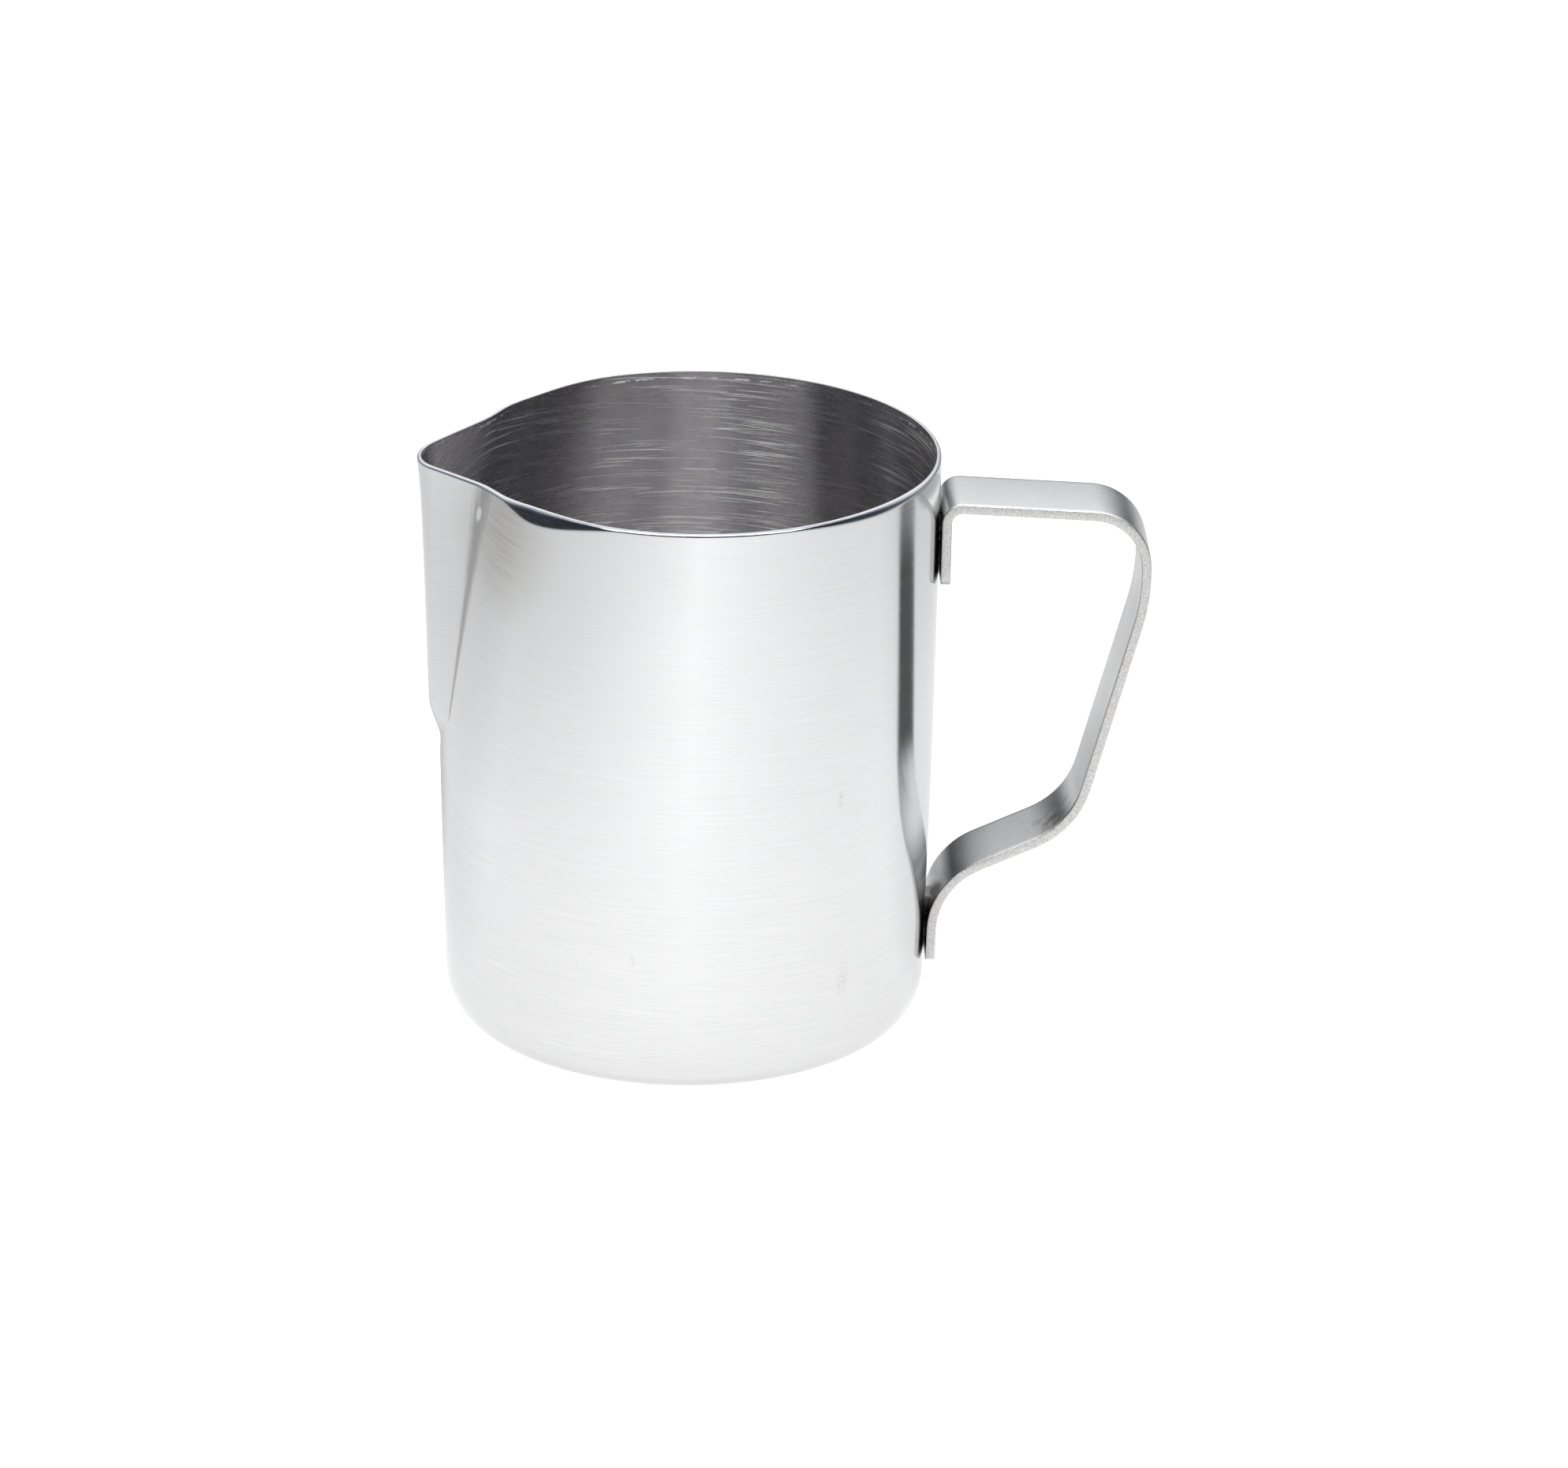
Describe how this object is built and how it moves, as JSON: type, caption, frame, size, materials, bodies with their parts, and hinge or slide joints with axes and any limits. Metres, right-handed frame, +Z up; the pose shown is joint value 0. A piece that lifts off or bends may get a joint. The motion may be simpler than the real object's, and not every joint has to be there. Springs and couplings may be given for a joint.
{
  "type": "milk frothing pitcher",
  "caption": "Straight-sided stainless steel milk frothing pitcher with a pressed pouring spout and an open handle bent from one flat strip.",
  "frame": {"origin": "centre of the ring that the pitcher stands on, on the body's axis, at the height of the standing surface", "axes": "+Z up along the body's axis, +X towards the handle, -X towards the spout, +Y completes a right-handed frame"},
  "size_m": [0.1317, 0.0898, 0.108],
  "materials": {
    "body_steel": "fine brushed around the body, satin",
    "handle_steel": "satin, rounded and polished long edges",
    "weld_metal": "dull, heat tinted"
  },
  "bodies": {
    "root": {"pitcher_body": "body_steel", "handle": "handle_steel", "upper_spot_welds": "weld_metal", "lower_spot_welds": "weld_metal"}
  },
  "joints": []
}
